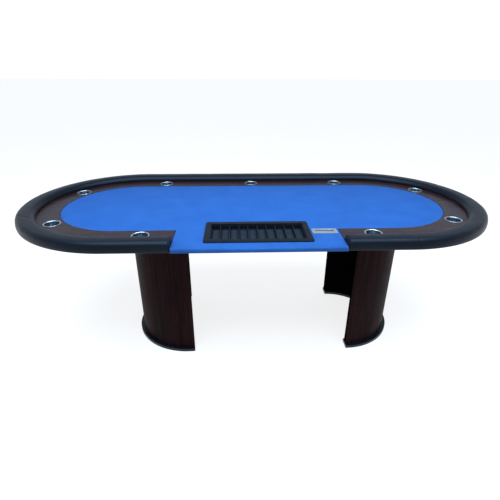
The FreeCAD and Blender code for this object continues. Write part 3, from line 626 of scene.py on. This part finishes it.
def sew_seams(item, spots):
    """Draw the vinyl in at its seams and give the padding its slow unevenness."""
    for vertex, (along, reach) in zip(item.data.vertices, spots):
        if vertex.co.z < SEWN_ABOVE:
            continue
        spine = Vector((*track_point(along, RAIL_MIDDLE), SPINE_HEIGHT))
        outward = (vertex.co - spine).normalized()
        draw_in = 0.0
        for seam, _ in SEAMS:
            away = abs(along - seam)
            draw_in += SEAM_DEPTH * math.exp(-(away / SEAM_WIDTH) ** 2)
            draw_in += SEAM_PULL * math.exp(-(away / SEAM_PULL_WIDTH) ** 2)
        uneven = sum(height * noise.noise(vertex.co * waves) for height, waves in UNEVENNESS)
        vertex.co += outward * (uneven - draw_in)


def build_rail():
    """The C-shaped padded rail, one sewn cover over the five runs of the CAD."""
    rail, spots = rail_mesh()
    held = [v.index for v in rail.data.vertices if v.co.z < PINNED_BELOW]
    inflate(rail, held, pressure=3.0, frames=14, cap=0.003)
    sew_seams(rail, spots)
    subdivide(rail, levels=1)
    rail.data.materials.append(VINYL)
    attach(rail, "table")
    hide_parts("rail_cushion_back", "rail_cushion_left", "rail_cushion_right",
                "rail_cushion_front_left", "rail_cushion_front_right")


build_rail()


# ---------------------------------------------------------------- playing cloth and foam

CLOTH_THICKNESS = 0.00135
APRON_GAP = 0.001
HOLE_CORNER = 0.004
EDGE_ROUND = 0.002
FRONT_ROUND = 0.006
FOLDED_UNDER = 0.025
FOAM_INSET = 0.001
FOAM_GAP = 0.0002
END_STEPS = 48
CORNER_STEPS = 3
ROLL_STEPS = 6

# How the cloth turns down at its outline and its holes: (into the cloth from its edge, down).
OUTLINE_TURN = ((EDGE_ROUND * 0.3, EDGE_ROUND * 0.4), (0.0, 2 * EDGE_ROUND))
HOLE_TURN = ((EDGE_ROUND, 0.0), (EDGE_ROUND / 3, EDGE_ROUND / 2), (0.0, 2 * EDGE_ROUND))

# The holes for the tray's well and the slot's collar.
TRAY_MIDDLE = (tray_low.xy + tray_high.xy) / 2
TRAY_HOLE_HALF = Vector((0.2205, 0.0935))
TRAY_HOLE = (TRAY_MIDDLE - TRAY_HOLE_HALF, TRAY_MIDDLE + TRAY_HOLE_HALF)
PLATE_MIDDLE = (plate_low.xy + plate_high.xy) / 2
COLLAR_HALF = Vector((0.049, 0.020))
SLOT_HOLE = (PLATE_MIDDLE - COLLAR_HALF, PLATE_MIDDLE + COLLAR_HALF)


def oval_with_apron(inset, front):
    """The soft layers' outline, counter-clockwise from the front right corner."""
    radius, half = FELT_RADIUS - inset, CUTOUT_HALF - APRON_GAP - inset
    points = [(half, -front), (half, -radius)]
    points += arc_points((END_CENTRE, 0), radius, -90, 90, END_STEPS)
    points += arc_points((-END_CENTRE, 0), radius, 90, 270, END_STEPS)
    points += [(-half, -radius), (-half, -front)]
    return points


def rounded_hole(low, high, corner):
    """A rectangular hole's outline with small round corners."""
    points = []
    for x, y, start in ((high.x, high.y, 0), (low.x, high.y, 90), (low.x, low.y, 180),
                        (high.x, low.y, 270)):
        inner = (x - math.copysign(corner, x - (low.x + high.x) / 2),
                 y - math.copysign(corner, y - (low.y + high.y) / 2))
        points += arc_points(inner, corner, start, start + 90, CORNER_STEPS)
    return points


def add_loop(mesh_data, outline, height):
    """A closed loop of vertices at one height."""
    return [mesh_data.verts.new((x, y, height)) for x, y in outline]


def edge_loop(mesh_data, loop):
    """The edges of a closed loop, made where they are missing."""
    pairs = zip(loop, loop[1:] + loop[:1])
    return [mesh_data.edges.get(pair) or mesh_data.edges.new(pair) for pair in pairs]


def grown(hole, margin):
    """A hole's two corners, moved out by a margin."""
    return hole[0] - Vector((margin, margin)), hole[1] + Vector((margin, margin))


def cloth_hole(mesh_data, hole):
    """The loops of a hole in the cloth, from its flat edge down into the hole."""
    return [add_loop(mesh_data, rounded_hole(*grown(hole, margin), HOLE_CORNER), FELT_TOP - drop)
            for margin, drop in HOLE_TURN]


def front_roll(flat_front):
    """How the cloth goes over the dealer's edge and under it, as (forwards, height) pairs."""
    over = arc_points((flat_front, FELT_TOP - FRONT_ROUND), FRONT_ROUND, 90, 0, ROLL_STEPS)
    under = arc_points((flat_front, CLOTH_UNDER + FRONT_ROUND), FRONT_ROUND, 0, -90, ROLL_STEPS)
    return list(over)[1:] + list(under) + [(DEALER_EDGE - FOLDED_UNDER, CLOTH_UNDER)]


def build_cloth():
    """The stretched cloth: flat on its foam, turned down at every edge, rolled over the front."""
    mesh_data = bmesh.new()
    flat_front = DEALER_EDGE - FRONT_ROUND
    flat_loop = add_loop(mesh_data, oval_with_apron(EDGE_ROUND, flat_front), FELT_TOP)
    edges = edge_loop(mesh_data, flat_loop)
    holes = [cloth_hole(mesh_data, hole) for hole in (TRAY_HOLE, SLOT_HOLE)]
    for loops in holes:
        edges += edge_loop(mesh_data, loops[0])
    bmesh.ops.triangle_fill(mesh_data, use_beauty=True, use_dissolve=False, edges=edges)
    for loops in holes:
        for ring, following in zip(loops, loops[1:]):
            bridge(mesh_data, ring, following)
    previous = flat_loop
    for inset, drop in OUTLINE_TURN:
        loop = add_loop(mesh_data, oval_with_apron(inset, flat_front), FELT_TOP - drop)
        bridge(mesh_data, previous, loop, closed=False)
        previous = loop
    left, right = flat_loop[-1], flat_loop[0]
    half = abs(right.co.x)
    for front, height in front_roll(flat_front):
        next_left = mesh_data.verts.new((-half, -front, height))
        next_right = mesh_data.verts.new((half, -front, height))
        mesh_data.faces.new((left, right, next_right, next_left))
        left, right = next_left, next_right
    cloth = finish_object("playing_cloth_sheet", mesh_data, sharp_angle=60)
    solid = cloth.modifiers.new("Thickness", "SOLIDIFY")
    solid.thickness = CLOTH_THICKNESS
    solid.offset = -1
    cloth.data.materials.append(FELT)
    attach(cloth, "table")
    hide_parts("playing_cloth")
    return cloth


def layer_solid(name, outline, holes, low, high):
    """A flat layer with upright sides and holes through it."""
    mesh_data = bmesh.new()
    tops, bottoms = [], []
    for shape in [outline] + holes:
        tops.append(add_loop(mesh_data, shape, high))
        bottoms.append(add_loop(mesh_data, shape, low))
    for loops in (tops, bottoms):
        edges = [edge for loop in loops for edge in edge_loop(mesh_data, loop)]
        bmesh.ops.triangle_fill(mesh_data, use_beauty=True, use_dissolve=False, edges=edges)
    for top, bottom in zip(tops, bottoms):
        bridge(mesh_data, top, bottom)
    return finish_object(name, mesh_data, sharp_angle=30)


def build_foam():
    """The foam under the cloth, a little smaller than it at every edge."""
    holes = [rounded_hole(*grown(hole, EDGE_ROUND), HOLE_CORNER)
             for hole in (TRAY_HOLE, SLOT_HOLE)]
    outline = oval_with_apron(EDGE_ROUND, -foam_low.y - FOAM_INSET)
    foam = layer_solid("foam_layer", outline, holes, foam_low.z, foam_high.z - FOAM_GAP)
    foam.data.materials.append(FOAM)
    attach(foam, "table")
    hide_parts("foam_underlay")


cloth_piece = build_cloth()
build_foam()


# ---------------------------------------------------------------- cup holders

CUP_SEGMENTS = 48
CUP_BODY = 0.036
CUP_WALL = 0.001
CUP_INSIDE = CUP_BODY - CUP_WALL
CUP_ARC_STEPS = 4

# A shallow ring pressed into the cup's floor: (share of the inside radius, rise).
FLOOR_RING = ((0.45, 0.0), (0.5, 0.0008), (0.55, 0.0))

# Where the wall turns into the floor: its rounding, and how far in the flat floor ends.
BASE_ROUND = 0.005
BASE_FLAT_INSET = 0.006

# Where the wall turns out into the flange: the straight wall's end, the rounding and its middle.
NECK_DROP = 0.0016
NECK_ROUND = 0.0026
NECK_CENTRE_DROP = 0.0011

# The flange's rolled edge, where its flat top ends and its underside, back to the body.
RIM_ROUND = 0.0009
RIM_STEPS = 5
FLANGE_TOP_INSET = 0.0022
FLANGE_UNDER_INSET = 0.002
FLANGE_UNDER = 0.0001
COLLAR = 0.0005
COLLAR_DROP = 0.002


def cup_profile(name):
    """The cup's wall from the middle of its floor, up the inside, over the flange and down."""
    low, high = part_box(name)
    flange = (high.x - low.x) / 2
    depth = RAIL_FOOT - low.z
    thick = high.z - RAIL_FOOT
    floor = CUP_WALL - depth
    points = [(0, floor)]
    points += [(CUP_INSIDE * share, floor + rise) for share, rise in FLOOR_RING]
    points.append((CUP_INSIDE - BASE_FLAT_INSET, floor))
    points += arc_points((CUP_INSIDE - BASE_ROUND, floor + BASE_ROUND), BASE_ROUND,
                         -70, 0, CUP_ARC_STEPS)
    points += [(CUP_INSIDE, floor * 0.6), (CUP_INSIDE, floor * 0.25), (CUP_INSIDE, -NECK_DROP)]
    points += arc_points((CUP_INSIDE + NECK_ROUND, -NECK_CENTRE_DROP), NECK_ROUND,
                         160, 90, CUP_ARC_STEPS)
    points.append((flange - FLANGE_TOP_INSET, thick))
    points += arc_points((flange - RIM_ROUND, thick - RIM_ROUND), RIM_ROUND, 70, -60, RIM_STEPS)
    points += [(flange - FLANGE_UNDER_INSET, FLANGE_UNDER), (CUP_BODY + COLLAR, FLANGE_UNDER),
               (CUP_BODY, -COLLAR_DROP), (CUP_BODY, floor * 0.5),
               (CUP_BODY, -depth + BASE_FLAT_INSET)]
    points += arc_points((CUP_BODY - BASE_ROUND, -depth + BASE_ROUND), BASE_ROUND,
                         -10, -80, CUP_ARC_STEPS)
    points += [(CUP_BODY * 0.5, -depth), (0, -depth)]
    return points


def build_cups():
    """Nine lathe-turned cups, each riding the body that lifts it out."""
    pattern = lathe("cup_pattern", cup_profile(CUPS[0]), CUP_SEGMENTS)
    subdivide(pattern, levels=1)
    pattern.data.materials.append(STEEL)
    for name in CUPS:
        low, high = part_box(name)
        cup = pattern.copy()
        cup.data = pattern.data.copy()
        cup.name = name.replace("cup_holder", "steel_cup")
        bpy.context.collection.objects.link(cup)
        cup.location = ((low.x + high.x) / 2, (low.y + high.y) / 2, RAIL_FOOT)
        bpy.context.view_layer.update()
        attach(cup, name)
        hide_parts(name)
    bpy.data.objects.remove(pattern)


build_cups()


# ---------------------------------------------------------------- chip tray

# The rows, ten round-bottomed troughs: their axis and dividers lie below the tray's top.
TROUGHS = 10
TROUGH_PITCH = 0.043
TROUGH_RADIUS = 0.0203
TROUGH_STEPS = 14
TROUGH_HALF = 0.088
AXIS_DROP = 0.018
DIVIDER_DROP = 0.008

# A divider's edge: (out from the trough's wall, down from the divider's top).
DIVIDER_EDGE = ((0.0004, 0.0003), (0.0, 0.0014))

# A row's end: the depths along its upright wall, the curve below and where the flat floor starts.
ROW_END_DEPTHS = (0.0012, DIVIDER_DROP, 0.016)
ROW_END_ROUND = 0.009
ROW_END_STEPS = 5
ROW_FLAT_START = 0.03

WELL_LOW = TRAY_MIDDLE.y - TROUGH_HALF
WELL_HIGH = TRAY_MIDDLE.y + TROUGH_HALF
TRAY_TOP = tray_high.z
TRAY_WALL = 0.0022

# The rim's rings: growth from the well, its corner and drop, then inset from the outline, with
# their corners and drops. The last is the skirt's foot, just clear of the cloth.
WELL_RINGS = ((0.0012, 0.004, 0.0), (0.004, 0.006, 0.0))
TRAY_EDGE = 0.0022
TRAY_CORNER = 0.012
SKIRT_GAP = 0.0002
OUTLINE_RINGS = ((TRAY_EDGE + 0.002, TRAY_CORNER - 0.003, 0.0),
                 (TRAY_EDGE, TRAY_CORNER - 0.002, 0.0003),
                 (TRAY_EDGE * 0.3, TRAY_CORNER, 0.0014),
                 (0.0, TRAY_CORNER, 0.003),
                 (0.0, TRAY_CORNER, TRAY_TOP - FELT_TOP - SKIRT_GAP))
WELD_DISTANCE = 1e-6


def tray_columns():
    """Places across the rows as (x, height): each trough's round bottom, walls and divider."""
    axis = TRAY_TOP - AXIS_DROP
    divider = TRAY_TOP - DIVIDER_DROP
    columns = []
    for row in range(TROUGHS):
        centre = (row - (TROUGHS - 1) / 2) * TROUGH_PITCH
        columns.append((centre - TROUGH_PITCH / 2, divider))
        columns += [(centre - TROUGH_RADIUS - out, divider - down) for out, down in DIVIDER_EDGE]
        columns += [(centre + x, axis + z)
                    for x, z in arc_points((0, 0), TROUGH_RADIUS, 180, 360, TROUGH_STEPS)]
        columns += [(centre + TROUGH_RADIUS + out, divider - down)
                    for out, down in reversed(DIVIDER_EDGE)]
    columns.append((TROUGHS * TROUGH_PITCH / 2, divider))
    return columns


def tray_stations():
    """Places along the rows as (y, lowest height): the ends curve up from the floor."""
    floor = TRAY_TOP - AXIS_DROP - TROUGH_RADIUS
    rise = [(0.0, TRAY_TOP - depth) for depth in ROW_END_DEPTHS]
    rise += [(ROW_END_ROUND - x, floor + ROW_END_ROUND + z)
             for x, z in arc_points((0, 0), ROW_END_ROUND, 0, -90, ROW_END_STEPS)]
    rise.append((ROW_FLAT_START, floor))
    front = [(WELL_LOW + y, height) for y, height in rise]
    back = [(WELL_HIGH - y, height) for y, height in reversed(rise)]
    return front + back


def tray_ring(half_x, half_y, corner, counts):
    """Points round a rectangle with round corners, matched to the well's edge side by side."""
    points = []
    sides = ((0, -1), (1, 0), (0, 1), (-1, 0))
    for (nx, ny), count in zip(sides, counts):
        tangent = Vector((-ny, nx))
        normal = Vector((nx, ny))
        reach = half_x if nx else half_y
        length = half_y if nx else half_x
        straight = length - corner
        arc = corner * math.pi / 4
        total = 2 * (straight + arc)
        for k in range(count):
            along = total * k / count - total / 2
            beyond = max(0.0, abs(along) - straight)
            turn = beyond / corner if corner else 0.0
            sign = math.copysign(1, along)
            place = (normal * (reach - corner + corner * math.cos(turn))
                     + tangent * sign * (min(abs(along), straight) + corner * math.sin(turn)))
            points.append((place.x, TRAY_MIDDLE.y + place.y))
    return points


def tray_rings():
    """The rim's rings from the well out to the skirt's foot: half sizes, corner and height."""
    well_x, well_y = TROUGHS * TROUGH_PITCH / 2, TROUGH_HALF
    half_x, half_y = (tray_high.x - tray_low.x) / 2, (tray_high.y - tray_low.y) / 2
    rings = [(well_x + growth, well_y + growth, corner, TRAY_TOP - drop)
             for growth, corner, drop in WELL_RINGS]
    return rings + [(half_x - inset, half_y - inset, corner, TRAY_TOP - drop)
                    for inset, corner, drop in OUTLINE_RINGS]


def build_tray():
    """The moulded tray: ten round-bottomed rows, a flat flange and a turned-down skirt."""
    mesh_data = bmesh.new()
    columns, stations = tray_columns(), tray_stations()
    grid = [[mesh_data.verts.new((x, y, max(height, level))) for x, height in columns]
            for y, level in stations]
    for row, following in zip(grid, grid[1:]):
        bridge(mesh_data, row, following, closed=False)
    edge = grid[0][:-1] + [row[-1] for row in grid][:-1] + grid[-1][:0:-1]
    edge += [row[0] for row in grid][:0:-1]
    counts = (len(columns) - 1, len(stations) - 1, len(columns) - 1, len(stations) - 1)
    previous = edge
    for ring_x, ring_y, corner, height in tray_rings():
        ring = add_loop(mesh_data, tray_ring(ring_x, ring_y, corner, counts), height)
        bridge(mesh_data, previous, ring)
        previous = ring
    bmesh.ops.remove_doubles(mesh_data, verts=mesh_data.verts, dist=WELD_DISTANCE)
    tray = finish_object("moulded_tray", mesh_data, sharp_angle=35)
    solid = tray.modifiers.new("Thickness", "SOLIDIFY")
    solid.thickness = TRAY_WALL
    solid.offset = -1
    tray.data.materials.append(TRAY)
    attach(tray, "chip_tray")
    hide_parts("chip_tray")


build_tray()


# ---------------------------------------------------------------- the CAD's own pieces

def paint(name, material):
    """Give a CAD node a material from here."""
    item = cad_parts[name]
    if not item.material_slots:
        item.data.materials.append(material)
    for place in item.material_slots:
        place.material = material


def leg_axis(side):
    """The upright axis that a half-round leg is bent about."""
    low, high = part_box("leg_shell_" + side)
    radius = -low.y
    return (low.x + radius if side == "left" else high.x - radius, 0.0, 0.0)


LEG_VENEER = {side: leg_material("leg_veneer_" + side, leg_axis(side))
              for side in ("left", "right")}
NODE_MATERIALS = {
    "racetrack_": racetrack_material(),
    "deck_board": DARKENED_DECK_PLYWOOD,
    "rail_core": PLYWOOD,
    "leg_top_plate": PLYWOOD,
    "leg_shell_left": LEG_VENEER["left"],
    "leg_shell_right": LEG_VENEER["right"],
    "leg_foot": foot_material(),
    "frame_beam": TIMBER["X"],
    "frame_cross": TIMBER["Y"],
    "frame_outrigger": TIMBER["Y"],
    "drop_slot_plate": brushed_material(),
}
for node_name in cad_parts:
    if node_name.endswith(("_bolts", "_washers", "_screws")):
        paint(node_name, FASTENER)
        continue
    for start, material in NODE_MATERIALS.items():
        if node_name.startswith(start):
            paint(node_name, material)


# ---------------------------------------------------------------- floor, light and camera

FLOOR_HALF = 40
FLOOR_GAP = 0.0005

# The sky's colours, and the directions between which they blend: along Y, then up Z.
FRONT_WALL = (0.34, 0.36, 0.40, 1.0)
BACK_WALL = (1.08, 1.08, 1.08, 1.0)
CEILING = (0.42, 0.52, 0.66, 1.0)
FRONT_TO_BACK = (-0.2, 0.3)
WALL_TO_CEILING = (0.13, 0.24)

OVERHEAD_PLACE = Vector((0.0, -0.9, 3.2))
OVERHEAD_TARGET = Vector((0.0, 0.0, FELT_TOP))
OVERHEAD_SIZE = (4.2, 2.6)
OVERHEAD_POWER = 250
OVERHEAD_COLOUR = (0.64, 0.78, 1.0)

# The camera that the photograph was fitted with: place in metres, turns in radians, lens in mm.
CAMERA_PLACE = Vector((-0.0977, -2.0029, 1.4494))
CAMERA_YAW = 0.0386
CAMERA_PITCH = 0.4542
CAMERA_ROLL = -0.0040
CAMERA_LENS = 27.62


def build_floor():
    """A plain pale floor that glows a little, so that it stays as bright as a backdrop."""
    mesh_data = bmesh.new()
    bmesh.ops.create_grid(mesh_data, x_segments=1, y_segments=1, size=FLOOR_HALF)
    floor = finish_object("floor", mesh_data)
    floor.location.z = -FLOOR_GAP
    look = Finish("pale_floor")
    shade = look.ramp(look.noise(3.0, 3.0), (0.3, rgb(148, 146, 142)), (0.7, rgb(152, 150, 146)))
    floor.data.materials.append(look.done(
        Base_Color=shade, Roughness=0.9, Specular_IOR_Level=0.0,
        Emission_Color=rgb(250, 250, 250), Emission_Strength=0.85))


def build_studio():
    """The surroundings: pale walls behind the table, dim ones in front, a grey-blue ceiling."""
    world = bpy.data.worlds.new("studio")
    world.use_nodes = True
    sky = Nodes(world.node_tree)
    direction = sky.add("TexCoord").outputs["Generated"]
    axes = sky.add("SeparateXYZ", {0: direction}).outputs
    walls = sky.mix(sky.spread(axes[1], *FRONT_TO_BACK), FRONT_WALL, BACK_WALL)
    background = sky.tree.nodes["Background"]
    sky.join(sky.mix(sky.spread(axes[2], *WALL_TO_CEILING), walls, CEILING),
             background.inputs["Color"])
    background.inputs["Strength"].default_value = 1.0
    bpy.context.scene.world = world


def build_overhead():
    """One large bluish soft box above the dealer's side, aimed at the middle of the cloth."""
    data = bpy.data.lights.new("overhead", "AREA")
    data.shape = "RECTANGLE"
    data.size, data.size_y = OVERHEAD_SIZE
    data.energy = OVERHEAD_POWER
    data.color = OVERHEAD_COLOUR
    lamp = bpy.data.objects.new("overhead", data)
    lamp.location = OVERHEAD_PLACE
    aim = OVERHEAD_TARGET - OVERHEAD_PLACE
    lamp.rotation_euler = aim.to_track_quat("-Z", "Y").to_euler()
    bpy.context.collection.objects.link(lamp)


def build_camera():
    """The camera in front of the dealer's side, looking down along the table's middle."""
    ahead = Vector((math.sin(CAMERA_YAW) * math.cos(CAMERA_PITCH),
                    math.cos(CAMERA_YAW) * math.cos(CAMERA_PITCH), -math.sin(CAMERA_PITCH)))
    right = Vector((math.cos(CAMERA_YAW), -math.sin(CAMERA_YAW), 0.0))
    down = ahead.cross(right)
    rolled = right * math.cos(CAMERA_ROLL) + down * math.sin(CAMERA_ROLL)
    up = -(ahead.cross(rolled))
    data = bpy.data.cameras.new("camera")
    data.lens = CAMERA_LENS
    camera = bpy.data.objects.new("camera", data)
    turn = Matrix((rolled, up, -ahead)).transposed().to_4x4()
    camera.matrix_world = Matrix.Translation(CAMERA_PLACE) @ turn
    bpy.context.collection.objects.link(camera)
    bpy.context.scene.camera = camera


build_floor()
build_studio()
build_overhead()
build_camera()
bpy.context.scene.view_settings.view_transform = "Standard"
